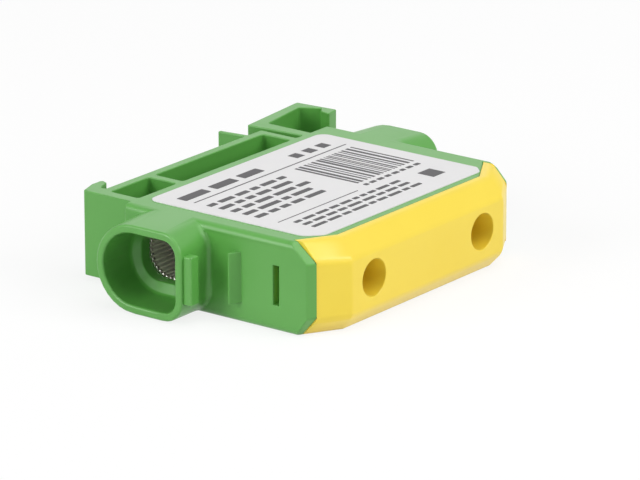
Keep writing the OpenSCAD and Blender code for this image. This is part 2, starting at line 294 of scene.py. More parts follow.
def shade(obj: Piece) -> None:
    """Shade a piece smooth, apart from its sharp edges.

    Args:
        obj: The piece.
    """
    only(obj)
    bpy.ops.object.shade_smooth_by_angle(angle=SMOOTH_ANGLE)


def enter(obj: Piece, body: Body, material: bpy.types.Material) -> None:
    """Give a piece its finish and its place in the frame.

    Args:
        obj: The finished piece.
        body: Body that it rides on.
        material: Its material.
    """
    obj.data.materials.clear()
    obj.data.materials.append(material)
    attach(obj, body.value)
    log.info("piece %s rides on %s", obj.name, body.value)


@dataclass(frozen=True)
class Finish:
    """A finish in object coordinates, the same all over a piece.

    Attributes:
        name: The real material and how it was made.
    """

    name: str

    def surface(self, tree: Tree, place: Socket) -> dict[str, object]:
        """Inputs of the shader, which each finish makes in its own way."""
        raise NotImplementedError

    def material(self) -> bpy.types.Material:
        """Build the node material.

        Returns:
            The finished material.
        """
        made = new_material(self.name)
        tree = made.node_tree
        place = add_node(tree, "ShaderNodeTexCoord").outputs["Object"]
        shader = add_node(tree, "ShaderNodeBsdfPrincipled", self.surface(tree, place))
        add_node(tree, "ShaderNodeOutputMaterial", {"Surface": shader.outputs["BSDF"]})
        return made


@dataclass(frozen=True)
class MouldedPolyamide(Finish):
    """Polyamide 6.6, injection moulded in a spark-eroded steel tool.

    The eye sees an even satin skin with a very fine grain, soft clouds of tone where the melt cooled,
    and a few pale specks of dust and flash.
    """

    face: str
    cloud: str
    speck: str
    roughness: float = 0.34
    cloud_mm: float = 9.0
    cloud_layers: float = 3.0
    cloud_gain: float = 0.55
    grain_mm: float = 0.22
    grain_layers: float = 2.0
    grain_gain: float = 0.5
    grain_height_mm: float = 0.006
    grain_strength: float = 0.35
    speck_spacing_mm: float = 2.4
    speck_mm: float = 0.11
    speck_share: float = 0.05
    rub_spread: float = 0.06
    ior: float = 1.53

    def surface(self, tree: Tree, place: Socket) -> dict[str, object]:
        """Lay clouds and specks over a grained skin.

        Args:
            tree: Node tree of the material.
            place: Object coordinates.

        Returns:
            Shader input to its value or to the socket that feeds it.
        """
        clouds = noise(tree, place, per_metre(self.cloud_mm), self.cloud_layers, self.cloud_gain)
        tone = mix(tree, clouds, linear(self.face), linear(self.cloud))
        spots = add_node(
            tree, "ShaderNodeTexVoronoi", {"Vector": place, "Scale": per_metre(self.speck_spacing_mm)}
        ).outputs
        near = work_out(tree, "LESS_THAN", spots["Distance"], self.speck_mm / self.speck_spacing_mm)
        chance = add_node(tree, "ShaderNodeSeparateColor", {"Color": spots["Color"]}).outputs["Red"]
        chosen = work_out(tree, "LESS_THAN", chance, self.speck_share)
        dotted = work_out(tree, "MULTIPLY", near, chosen)
        grain = noise(tree, place, per_metre(self.grain_mm), self.grain_layers, self.grain_gain)
        smooth, rough = self.roughness - self.rub_spread, self.roughness + self.rub_spread
        return {
            "Base Color": mix(tree, dotted, tone, linear(self.speck)),
            "Roughness": spread(tree, clouds, smooth, rough),
            "IOR": self.ior,
            "Normal": emboss(tree, grain, self.grain_strength, self.grain_height_mm),
        }


@dataclass(frozen=True)
class DrawnMetal(Finish):
    """Metal with fine lines along one axis.

    The eye sees a satin sheen broken by thin streaks, which follow the way the metal was drawn or turned.
    """

    streak_layers: ClassVar[float] = 4.0
    streak_gain: ClassVar[float] = 0.6
    streak_height_mm: ClassVar[float] = 0.004
    streak_strength: ClassVar[float] = 0.3
    smoother: ClassVar[float] = 0.08
    rougher: ClassVar[float] = 0.1
    face: str
    dull: str
    roughness: float
    streak_mm: float
    streak_length_mm: float
    along: Axis

    def surface(self, tree: Tree, place: Socket) -> dict[str, object]:
        """Draw the streaks along the metal.

        Args:
            tree: Node tree of the material.
            place: Object coordinates.

        Returns:
            Shader input to its value or to the socket that feeds it.
        """
        scale = [per_metre(self.streak_mm)] * 3
        scale[self.along.value] = per_metre(self.streak_length_mm)
        stretched = add_node(tree, "ShaderNodeMapping", {"Vector": place, "Scale": scale})
        streaks = noise(tree, stretched.outputs["Vector"], 1.0, self.streak_layers, self.streak_gain)
        smooth, rough = self.roughness - self.smoother, self.roughness + self.rougher
        return {
            "Base Color": mix(tree, streaks, linear(self.dull), linear(self.face)),
            "Metallic": 1.0,
            "Roughness": spread(tree, streaks, smooth, rough),
            "Normal": emboss(tree, streaks, self.streak_strength, self.streak_height_mm),
        }


@dataclass(frozen=True)
class ToothedMetal(DrawnMetal):
    """Drawn metal with a toothed bore along X.

    The eye sees the teeth as bright metal over grooves that are painted pale and dull, a painted
    highlight that stands for light falling into the bore; at the sawn ends the grooves keep the metal
    and are smoother, so they glint.
    """

    axis: tuple[float, float, float]
    ends: tuple[float, float]
    crest_mm: float
    root_mm: float
    painted_groove_light: str
    groove_bare: float = 0.0
    end_roughness: float = 0.22
    end_mm: float = 0.6

    def surface(self, tree: Tree, place: Socket) -> dict[str, object]:
        """Paint the grooves between the teeth pale and dull as painted light in the bore, apart from their
        ends.

        Args:
            tree: Node tree of the material.
            place: Object coordinates.

        Returns:
            Shader input to its value or to the socket that feeds it.
        """
        plain = super().surface(tree, place)
        centred = add_node(tree, "ShaderNodeVectorMath", {0: place, 1: self.axis}, operation="SUBTRACT")
        across = add_node(
            tree, "ShaderNodeVectorMath",
            {0: centred.outputs["Vector"], 1: (0.0, 1.0, 1.0)},
            operation="MULTIPLY",
        )
        radius = add_node(tree, "ShaderNodeVectorMath", {0: across.outputs["Vector"]}, operation="LENGTH")
        inside = add_node(
            tree, "ShaderNodeMapRange",
            {
                "Value": radius.outputs["Value"],
                "From Min": self.crest_mm * MM,
                "From Max": self.root_mm * MM,
            },
        )
        along = add_node(tree, "ShaderNodeSeparateXYZ", {"Vector": place}).outputs["X"]
        middle = sum(self.ends) / 2
        half = (self.ends[1] - self.ends[0]) / 2
        deep = work_out(tree, "COMPARE", along, middle, half - self.end_mm * MM)
        # Painted highlight: away from the ends, the grooves get a pale colour without metal, which stands
        # for light in the bore.
        dull = work_out(tree, "MULTIPLY", inside.outputs["Result"], deep)
        return {
            **plain,
            "Base Color": mix(tree, dull, plain["Base Color"], linear(self.painted_groove_light)),
            "Metallic": spread(tree, dull, 1.0, self.groove_bare),
            "Roughness": spread(tree, deep, self.end_roughness, self.roughness),
        }


@dataclass(frozen=True)
class PrintedFilm(Finish):
    """Self-adhesive polyester film or the ink that is transferred onto it.

    The eye sees a flat, slightly glossy sheet with faint waves from the glue under it.
    """

    face: str
    shade: str
    roughness: float
    wave_mm: float = 6.0
    wave_layers: float = 2.0
    wave_gain: float = 0.5
    wave_height_mm: float = 0.01
    wave_strength: float = 0.2
    ior: float = 1.5

    def surface(self, tree: Tree, place: Socket) -> dict[str, object]:
        """Wave the sheet a little.

        Args:
            tree: Node tree of the material.
            place: Object coordinates.

        Returns:
            Shader input to its value or to the socket that feeds it.
        """
        waves = noise(tree, place, per_metre(self.wave_mm), self.wave_layers, self.wave_gain)
        return {
            "Base Color": mix(tree, waves, linear(self.face), linear(self.shade)),
            "Roughness": self.roughness,
            "IOR": self.ior,
            "Normal": emboss(tree, waves, self.wave_strength, self.wave_height_mm),
        }


GREEN_POLYAMIDE = MouldedPolyamide("moulded green polyamide", "62AA4E", "5AA147", "BFD8B4")
YELLOW_POLYAMIDE = MouldedPolyamide(
    "moulded yellow polyamide", "FBE04A", "F6D943", "F8EFC8", speck_share=0.02
)
WIRE_AXIS = next(m["pos_m"] for m in frame["record"]["mounts"] if m["name"] == "wire_clamp_left")
TINNED_ALUMINIUM = ToothedMetal(
    "extruded tinned aluminium", "F6F4EF", "E2DFD8",
    roughness=0.5,
    streak_mm=0.12,
    streak_length_mm=6.0,
    along=Axis.X,
    axis=tuple(WIRE_AXIS),
    ends=tuple(corner.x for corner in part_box("terminal_bar")),
    crest_mm=4.12,
    root_mm=4.3,
    # Near-white groove colour, painted light on the bore wall.
    painted_groove_light="FBF7EE",
)
ZINC_PLATED_STEEL = DrawnMetal(
    "turned zinc-plated steel", "B9BDC2", "989CA3",
    roughness=0.3,
    streak_mm=0.15,
    streak_length_mm=1.5,
    along=Axis.Y,
)
LABEL_FILM = PrintedFilm("matt white polyester film", "E9E8E8", "E3E2E3", roughness=0.45)
LABEL_INK = PrintedFilm("thermal transfer ink", "3A393B", "454446", roughness=0.5)


@dataclass(frozen=True)
class EdgeRule:
    """Rounding of the sharp edges that pass a test.

    Attributes:
        width_mm: Width of the rounding.
        test: Says whether the rule takes an edge, from its middle in row millimetres and the normals
            of its two faces.
        hollow: Whether the rule is for inner corners instead of outer edges.
    """

    width_mm: float
    test: Callable[[Vector, list[Vector]], bool]
    hollow: bool = False


@dataclass
class RoundedPiece:
    """A piece with a CAD node's own outline and softly rounded edges.

    Attributes:
        node: CAD node that the piece stands for.
        name: Name of the piece.
        slot: Slot of the record for its finish; not used.
        finish: Material of the piece.
        plain_edge_mm: Rounding where no rule says otherwise.
        segments: Facets across a rounding.
        flatness: How much of the shading a flat face takes, out of a hundred.
        slack_mm: How far from a place a corner or an edge still belongs to it.
        seam_bend_mm: Bend of the seam, in from the cover's right end and back from its front.
        seam_end_mm: End of the seam, in the same way.
        seam_reach_mm: How far from these places a corner still belongs to them.
        seam_along_mm: Shift of the bend to the left.
        seam_back_mm: Shift of the end to the back.
    """

    node: str
    name: str
    slot: Slot
    finish: Finish
    plain_edge_mm: float = 0.2
    segments: int = 3
    flatness: int = 100
    slack_mm: float = 0.05
    seam_bend_mm: tuple[float, float] = (6.25, 3.6)
    seam_end_mm: tuple[float, float] = (0.0, 7.3)
    seam_reach_mm: float = 0.25
    seam_along_mm: float = 0.65
    seam_back_mm: float = 0.42

    def rules(self) -> list[EdgeRule]:
        """Roundings that differ from the plain one."""
        return []

    def reshape(self, obj: Piece) -> None:
        """Move what is finer than the node's own outline."""

    def set_seam_back(self, obj: Piece) -> None:
        """Set the right slant of the seam between cover and housing back, on the label's side.

        Args:
            obj: The cover or the housing.
        """
        low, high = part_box("front_cover")
        reach = self.seam_reach_mm * MM
        moves = (
            (self.seam_bend_mm, (-self.seam_along_mm * MM, 0, 0)),
            (self.seam_end_mm, (0, self.seam_back_mm * MM, 0)),
        )
        with editing(obj) as shape:
            for (inward, behind), shift in moves:
                place = Vector((high.x - inward * MM, low.y + behind * MM, high.z))
                choose(v for v in shape.verts if all(abs(gap) < reach for gap in v.co - place))
                bpy.ops.transform.translate(value=shift)

    def weigh_edges(self, obj: Piece, widest_mm: float) -> None:
        """Store the rounding of each sharp edge as its bevel weight.

        Args:
            obj: The piece.
            widest_mm: Rounding that a weight of one stands for.
        """
        rules = [*self.rules(), EdgeRule(self.plain_edge_mm, lambda middle, normals: True)]
        shape = bmesh.new()
        shape.from_mesh(obj.data)
        weights = shape.edges.layers.float.new("bevel_weight_edge")
        for edge in shape.edges:
            if edge.calc_face_angle(0.0) < SHARP_ANGLE:
                continue
            middle = (edge.verts[0].co + edge.verts[1].co) / (2 * MM)
            normals = [face.normal for face in edge.link_faces]
            for rule in rules:
                if rule.hollow != edge.is_convex and rule.test(middle, normals):
                    edge[weights] = rule.width_mm / widest_mm
                    break
        shape.to_mesh(obj.data)
        shape.free()

    def build(self) -> None:
        """Model the piece and enter it in the frame."""
        obj = copy_of_node(self.node, self.name)
        self.reshape(obj)
        widest_mm = max([self.plain_edge_mm, *(rule.width_mm for rule in self.rules())])
        self.weigh_edges(obj, widest_mm)
        apply_modifier(
            obj, "BEVEL",
            width=widest_mm * MM,
            segments=self.segments,
            limit_method="WEIGHT",
            use_clamp_overlap=False,
            miter_outer="MITER_SHARP",
        )
        drop_slivers(obj)
        shade(obj)
        apply_modifier(obj, "WEIGHTED_NORMAL", keep_sharp=True, weight=self.flatness)
        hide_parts(self.node)
        enter(obj, Body.BLOCK, self.finish.material())


@dataclass
class Housing(RoundedPiece):
    """Green body with the wire funnels, the end walls and the rail foot.

    Attributes:
        mouth_reach_mm: How far in from an end an edge still belongs to a funnel's rim.
        floor_past_bar_mm: How far out from the bar's ends the flat floors lie.
        rib_tip_mm: Width that is left of a rib where it stands out most.
        seat_depth_mm: How far back from the cover's front the edges beside it reach.
        step_root_mm: Start of the step beside the cover, out from the cover's ends.
        step_mm: End of that step.
        plate_back_mm: Setting back of the left and the right end plate.
        plate_shift_mm: Rise of the lower and the upper corners of the plates' upright fronts.
        plate_cut: Share of their depth that the lower and the upper diagonal cuts keep.
        plate_upright: Share of the cover's height that the upright fronts take.
    """

    node: str = "housing"
    name: str = "housing_moulding"
    slot: Slot = Slot.GREEN
    finish: MouldedPolyamide = GREEN_POLYAMIDE
    mouth_edge_mm: float = 0.4
    mouth_reach_mm: float = 0.3
    funnel_past_bar_mm: float = 3.0
    floor_fillet_mm: float = 0.5
    floor_rise_mm: float = 1.1
    floor_past_bar_mm: float = 2.1
    rib_behind_mm: float = 16.4
    rib_width_mm: float = 1.3
    rib_height_mm: float = 8.2
    rib_tip_mm: float = 0.3
    rib_edge_mm: float = 0.1
    seat_edge_mm: float = 0.0
    seat_depth_mm: float = 8.0
    seat_reach_mm: float = 0.1
    step_root_mm: float = 0.012
    step_mm: float = 0.06
    plate_front_mm: float = 3.2
    plate_back_mm: tuple[float, float] = (0.1, 0.35)
    plate_shift_mm: tuple[float, float] = (0.35, -0.15)
    plate_cut: tuple[float, float] = (0.58, 0.8)
    plate_upright: float = 0.76
    plate_edge_mm: float = 0.3
    plate_corner_mm: float = 0.35

    def slope_floors(self, obj: Piece) -> None:
        """Turn the flat floors of the funnels to cones that lead the wire in.

        Args:
            obj: The piece.
        """
        bar_low, bar_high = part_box("terminal_bar")
        middle = (bar_low.x + bar_high.x) / 2
        depth = bar_high.x - middle + self.floor_past_bar_mm * MM
        for side in (-1, 1):
            with editing(obj) as shape:
                ring = [
                    face for face in shape.faces
                    if face.normal.x * side > POINTING
                    and abs((face.calc_center_median().x - middle) * side - depth) < self.slack_mm * MM
                ]
                corner = {
                    edge for face in ring for edge in face.edges
                    if not edge.is_convex and not all(other in ring for other in edge.link_faces)
                }
                choose(corner)
                bpy.ops.transform.translate(value=(side * self.floor_rise_mm * MM, 0, 0))
                choose(ring)
                bpy.ops.mesh.delete(type="FACE")
            with editing(obj) as shape:
                choose(edge for edge in shape.edges if edge.is_boundary)
                bpy.ops.mesh.bridge_edge_loops()
                bpy.ops.mesh.select_all(action="SELECT")
                bpy.ops.mesh.normals_make_consistent(inside=False)

    def slope_ribs(self, obj: Piece) -> None:
        """Slope the ribs of the end walls to wedges that stand out only at their rear edges.

        Args:
            obj: The piece.
        """
        low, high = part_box("front_cover")
        middle = (low + high) / 2
        front = low.y + self.rib_behind_mm * MM
        half = self.rib_height_mm * MM / 2
        slack = self.slack_mm * MM
        with editing(obj) as shape:
            corners = [
                vert for vert in shape.verts
                if abs(vert.co.y - front) < slack and abs(abs(vert.co.z - middle.z) - half) < slack
            ]
            reach = max(abs(vert.co.x - middle.x) for vert in corners)
            choose(vert for vert in corners if abs(vert.co.x - middle.x) > reach - slack)
            bpy.ops.transform.translate(value=(0, (self.rib_width_mm - self.rib_tip_mm) * MM, 0))

    def plate_faces(self, shape: bmesh.types.BMesh) -> list[bmesh.types.BMFace]:
        """Find the front faces of the end plates.

        Args:
            shape: Mesh of the housing.

        Returns:
            The upright faces and the diagonal ones above and below them.
        """
        low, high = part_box("front_cover")
        step = self.step_mm * MM
        return [
            face for face in shape.faces
            if face.normal.y < -LEANING
            and abs(face.normal.x) > TURNED
            and face.calc_center_median().y < low.y + self.seat_depth_mm * MM
            and any(not low.x - step < vert.co.x < high.x + step for vert in face.verts)
        ]

    def free_cuts(self, obj: Piece) -> None:
        """Cut the diagonal faces of the end plates free from their strips behind the cover.

        Args:
            obj: The piece.
        """
        low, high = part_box("front_cover")
        root, step = self.step_root_mm * MM, self.step_mm * MM
        for place in (low.x - root, low.x - step, high.x + root, high.x + step):
            with editing(obj) as shape:
                choose(face for face in self.plate_faces(shape) if abs(face.normal.z) > LEANING)
                bpy.ops.mesh.bisect(plane_co=(place, 0, 0), plane_no=(1, 0, 0), threshold=MERGE_MM * MM)

    def set_plates_back(self, obj: Piece) -> None:
        """Set the end plates back to the cover and steepen their diagonal cuts.

        Args:
            obj: The piece.
        """
        low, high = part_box("front_cover")
        middle = (low.z + high.z) / 2
        reach = (high.z - low.z) * self.plate_upright / 2
        step = self.step_mm * MM / 2
        pivot = (0, low.y + self.plate_front_mm * MM, 0)
        with editing(obj) as shape:
            verts = {vert for face in self.plate_faces(shape) for vert in face.verts}
            upright = [vert for vert in verts if abs(vert.co.z - middle) < reach]
            tips = [
                vert for vert in verts
                if vert not in upright and not low.x - step < vert.co.x < high.x + step
            ]
            for side, cut in zip((-1, 1), self.plate_cut):
                choose(vert for vert in tips if (vert.co.z - middle) * side > 0)
                bpy.ops.transform.resize(value=(1, cut, 1), center_override=pivot)
            for side, shift in zip((-1, 1), self.plate_shift_mm):
                choose(vert for vert in upright if (vert.co.z - middle) * side > 0)
                bpy.ops.transform.translate(value=(0, 0, shift * MM))
            for side, back in zip((-1, 1), self.plate_back_mm):
                choose(vert for vert in upright if vert.co.x * side > 0)
                bpy.ops.transform.translate(value=(0, back * MM, 0))

    def reshape(self, obj: Piece) -> None:
        """Shape the funnels' floors, the ribs, the seam and the end plates.

        Args:
            obj: The piece.
        """
        self.slope_floors(obj)
        self.slope_ribs(obj)
        self.free_cuts(obj)
        self.set_seam_back(obj)
        self.set_plates_back(obj)

    def rules(self) -> list[EdgeRule]:
        """Choose the edges that are rounder or crisper than the rest.

        Returns:
            Rules for the rims of the mouths, the inner corners at the funnels' floors, the ribs of the end
            walls, the seat of the cover and the corners of the end plates.
        """
        low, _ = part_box(self.node)
        bar_low, bar_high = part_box("terminal_bar")
        cover_low, cover_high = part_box("front_cover")
        middle_x = (bar_low.x + bar_high.x) / (2 * MM)
        mouth = middle_x - low.x / MM - self.mouth_reach_mm
        floor = bar_high.x / MM - middle_x + self.floor_past_bar_mm + self.floor_rise_mm
        back = bar_high.y / MM + self.funnel_past_bar_mm
        seat_x = (cover_high.x - cover_low.x) / (2 * MM) + self.seat_reach_mm
        seat_y = cover_low.y / MM + self.seat_depth_mm

        def at_mouth(middle: Vector, normals: list[Vector]) -> bool:
            """Tell an edge of a funnel's rim."""
            return abs(middle.x - middle_x) > mouth and middle.y < back

        def at_floor(middle: Vector, normals: list[Vector]) -> bool:
            """Tell an inner corner between a funnel's wall and its floor."""
            return abs(abs(middle.x - middle_x) - floor) < self.slack_mm

        def at_rib(middle: Vector, normals: list[Vector]) -> bool:
            """Tell an edge of an end wall's rib."""
            behind = middle.y - cover_low.y / MM - self.rib_behind_mm
            outside = abs(middle.x - middle_x) > seat_x
            return outside and -self.slack_mm < behind < self.rib_width_mm + self.slack_mm

        def at_seat(middle: Vector, normals: list[Vector]) -> bool:
            """Tell an edge beside the cover."""
            return abs(middle.x - middle_x) < seat_x and middle.y < seat_y

        def at_plate_top(middle: Vector, normals: list[Vector]) -> bool:
            """Tell an edge between a plate's diagonal cut and the broad side."""
            slanted = min(normal.y for normal in normals) < -LEANING
            return middle.y < seat_y and slanted and max(abs(normal.z) for normal in normals) > FACING

        def at_plate_corner(middle: Vector, normals: list[Vector]) -> bool:
            """Tell an edge between a plate's diagonal cut and its upright front."""
            return middle.y < seat_y and max(normal.y for normal in normals) < -LEANING

        return [
            EdgeRule(self.mouth_edge_mm, at_mouth),
            EdgeRule(self.floor_fillet_mm, at_floor, hollow=True),
            EdgeRule(self.rib_edge_mm, at_rib),
            EdgeRule(self.seat_edge_mm, at_seat),
            EdgeRule(self.plate_edge_mm, at_plate_top),
            EdgeRule(self.plate_corner_mm, at_plate_corner),
        ]


@dataclass
class FrontCover(RoundedPiece):
    """Yellow snap-in cover over the clamp screws."""

    node: str = "front_cover"
    name: str = "cover_moulding"
    slot: Slot = Slot.YELLOW
    finish: MouldedPolyamide = YELLOW_POLYAMIDE
    plain_edge_mm: float = 0.06
    shoulder_mm: float = 0.85
    corner_mm: float = 0.2
    hole_edge_mm: float = 0.15
    hole_reach_mm: float = 0.4
    chamfer_top_mm: float = 2.6
    chamfer_slack_mm: float = 0.1
    front_reach_mm: float = 1.0
    front_drop_mm: float = 0.65
    end_reach_mm: float = 4.0
    end_drop_mm: float = 0.2

    def reshape(self, obj: Piece) -> None:
        """Deepen the upper chamfer, most of all along the flat front.

        Args:
            obj: The piece.
        """
        self.set_seam_back(obj)
        low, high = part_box(self.node)
        line = high.z - self.chamfer_top_mm * MM
        with editing(obj) as shape:
            edge = [vert for vert in shape.verts if abs(vert.co.z - line) < self.chamfer_slack_mm * MM]
            for start, end, drop in (
                (-self.front_reach_mm, self.front_reach_mm, self.front_drop_mm),
                (self.front_reach_mm, self.end_reach_mm, self.end_drop_mm),
            ):
                choose(vert for vert in edge if start * MM < vert.co.y - low.y < end * MM)
                bpy.ops.transform.translate(value=(0, 0, -drop * MM))

    def rules(self) -> list[EdgeRule]:
        """Choose the edges of the front that are rounder than the rest.

        Returns:
            Rules for the rims of the screwdriver holes, the chamfers and the upright corners.
        """
        holes = [m for m in frame["record"]["mounts"] if m["name"].startswith("driver_hole")]

        def at_hole(middle: Vector, normals: list[Vector]) -> bool:
            """Tell an edge of a screwdriver hole's rim."""
            away = min(
                math.hypot(middle.x - hole["pos_m"][0] / MM, middle.z - hole["pos_m"][2] / MM)
                - hole["dims"]["r_mm"]
                for hole in holes
            )
            return away < self.hole_reach_mm

        def on_front(middle: Vector, normals: list[Vector]) -> bool:
            """Tell an edge between two faces of the front."""
            ends = max(abs(normal.x) for normal in normals) > POINTING
            ahead = [normal.y for normal in normals]
            return not ends and max(ahead) < TURNED and min(ahead) < -LEANING

        def at_shoulder(middle: Vector, normals: list[Vector]) -> bool:
            """Tell a long edge of a chamfer, apart from the lowest one."""
            heights = [normal.z for normal in normals]
            bent = max(heights) - min(heights) > LEANING
            return on_front(middle, normals) and bent and min(heights) > -POINTING

        return [
            EdgeRule(self.hole_edge_mm, at_hole),
            EdgeRule(self.shoulder_mm, at_shoulder),
            EdgeRule(self.corner_mm, on_front),
        ]


@dataclass
class TerminalBar(RoundedPiece):
    """Extruded bar that joins the two conductors."""

    node: str = "terminal_bar"
    name: str = "terminal_bar_extrusion"
    slot: Slot = Slot.BAR
    finish: DrawnMetal = TINNED_ALUMINIUM
    plain_edge_mm: float = 0.03
    end_edge_mm: float = 0.2
    segments: int = 2

    def rules(self) -> list[EdgeRule]:
        """Choose the sawn edges at the bar's two ends.

        Returns:
            One rule for both ends.
        """
        low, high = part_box(self.node)
        ends = (low.x / MM, high.x / MM)

        def at_end(middle: Vector, normals: list[Vector]) -> bool:
            """Tell an edge in the plane of an end."""
            return min(abs(middle.x - end) for end in ends) < self.plain_edge_mm

        return [EdgeRule(self.end_edge_mm, at_end)]


@dataclass
class ClampScrews:
    """Two grub screws with a hexagon socket and a cut thread."""

    pitch_mm: float = 1.25
    root_mm: float = 3.35
    past_mm: float = 0.2
    flank: float = math.radians(30)
    steps: int = 24
    turns: int = 11
    edge_mm: float = 0.25
    segments: int = 2
    finish: DrawnMetal = ZINC_PLATED_STEEL

    def thread_cutter(self, node: str) -> Piece:
        """Model the helical groove of a screw's thread as a solid.

        Args:
            node: CAD node of the screw.

        Returns:
            The cutter, at the origin.
        """
        low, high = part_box(node)
        outer = (high.x - low.x) / 2 + self.past_mm * MM
        root = self.root_mm * MM
        half = (outer - root) * math.tan(self.flank)
        section = ((root, 0.0), (outer, half), (outer, -half))
        axis = Vector(((low.x + high.x) / 2, low.y - self.pitch_mm * MM, (low.z + high.z) / 2))
        bpy.ops.object.select_all(action="DESELECT")
        bpy.ops.mesh.primitive_circle_add(vertices=len(section), radius=half, location=axis)
        cutter = bpy.context.object
        with editing(cutter) as shape:
            for vert, corner in zip(shape.verts, section):
                vert.co = (*corner, 0.0)
        apply_modifier(
            cutter, "SCREW",
            axis="Y",
            screw_offset=self.pitch_mm * MM,
            iterations=self.turns,
            steps=self.steps,
            render_steps=self.steps,
            use_merge_vertices=False,
        )
        bpy.ops.object.transform_apply(location=True)
        with editing(cutter):
            bpy.ops.mesh.select_all(action="SELECT")
            bpy.ops.mesh.fill_holes(sides=len(section))
            bpy.ops.mesh.normals_make_consistent(inside=False)
        return cutter

    def build_screw(self, node: str, name: str) -> Piece:
        """Model one screw with its rounded edges and its thread.

        Args:
            node: CAD node of the screw.
            name: Name of the piece.

        Returns:
            The finished mesh.
        """
        obj = copy_of_node(node, name)
        apply_modifier(
            obj, "BEVEL",
            width=self.edge_mm * MM,
            segments=self.segments,
            limit_method="ANGLE",
            angle_limit=SMOOTH_ANGLE,
        )
        cutter = self.thread_cutter(node)
        apply_modifier(obj, "BOOLEAN", object=cutter, operation="DIFFERENCE", solver="EXACT")
        bpy.data.objects.remove(cutter)
        shade(obj)
        return obj

    def build(self) -> None:
        """Model both screws and enter them in the frame."""
        material = self.finish.material()
        for side, body in (("left", Body.LEFT_SCREW), ("right", Body.RIGHT_SCREW)):
            obj = self.build_screw(f"clamp_screw_{side}", f"grub_screw_{side}")
            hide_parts(f"clamp_screw_{side}")
            enter(obj, body, material)


@dataclass(frozen=True)
class Rows:
    """A paragraph of plain bars that stand for words.

    Attributes:
        left_mm: Start of the rows, from the label's left edge.
        right_mm: End of the rows, from the label's left edge.
        first_mm: Foot of the upper row, from the label's screw side.
        count: Number of rows.
        pitch_mm: Distance from row to row.
        height_mm: Height of a bar.
        words_mm: Shortest and longest bar.
    """

    left_mm: float
    right_mm: float
    first_mm: float
    count: int
    pitch_mm: float
    height_mm: float
    words_mm: tuple[float, float]


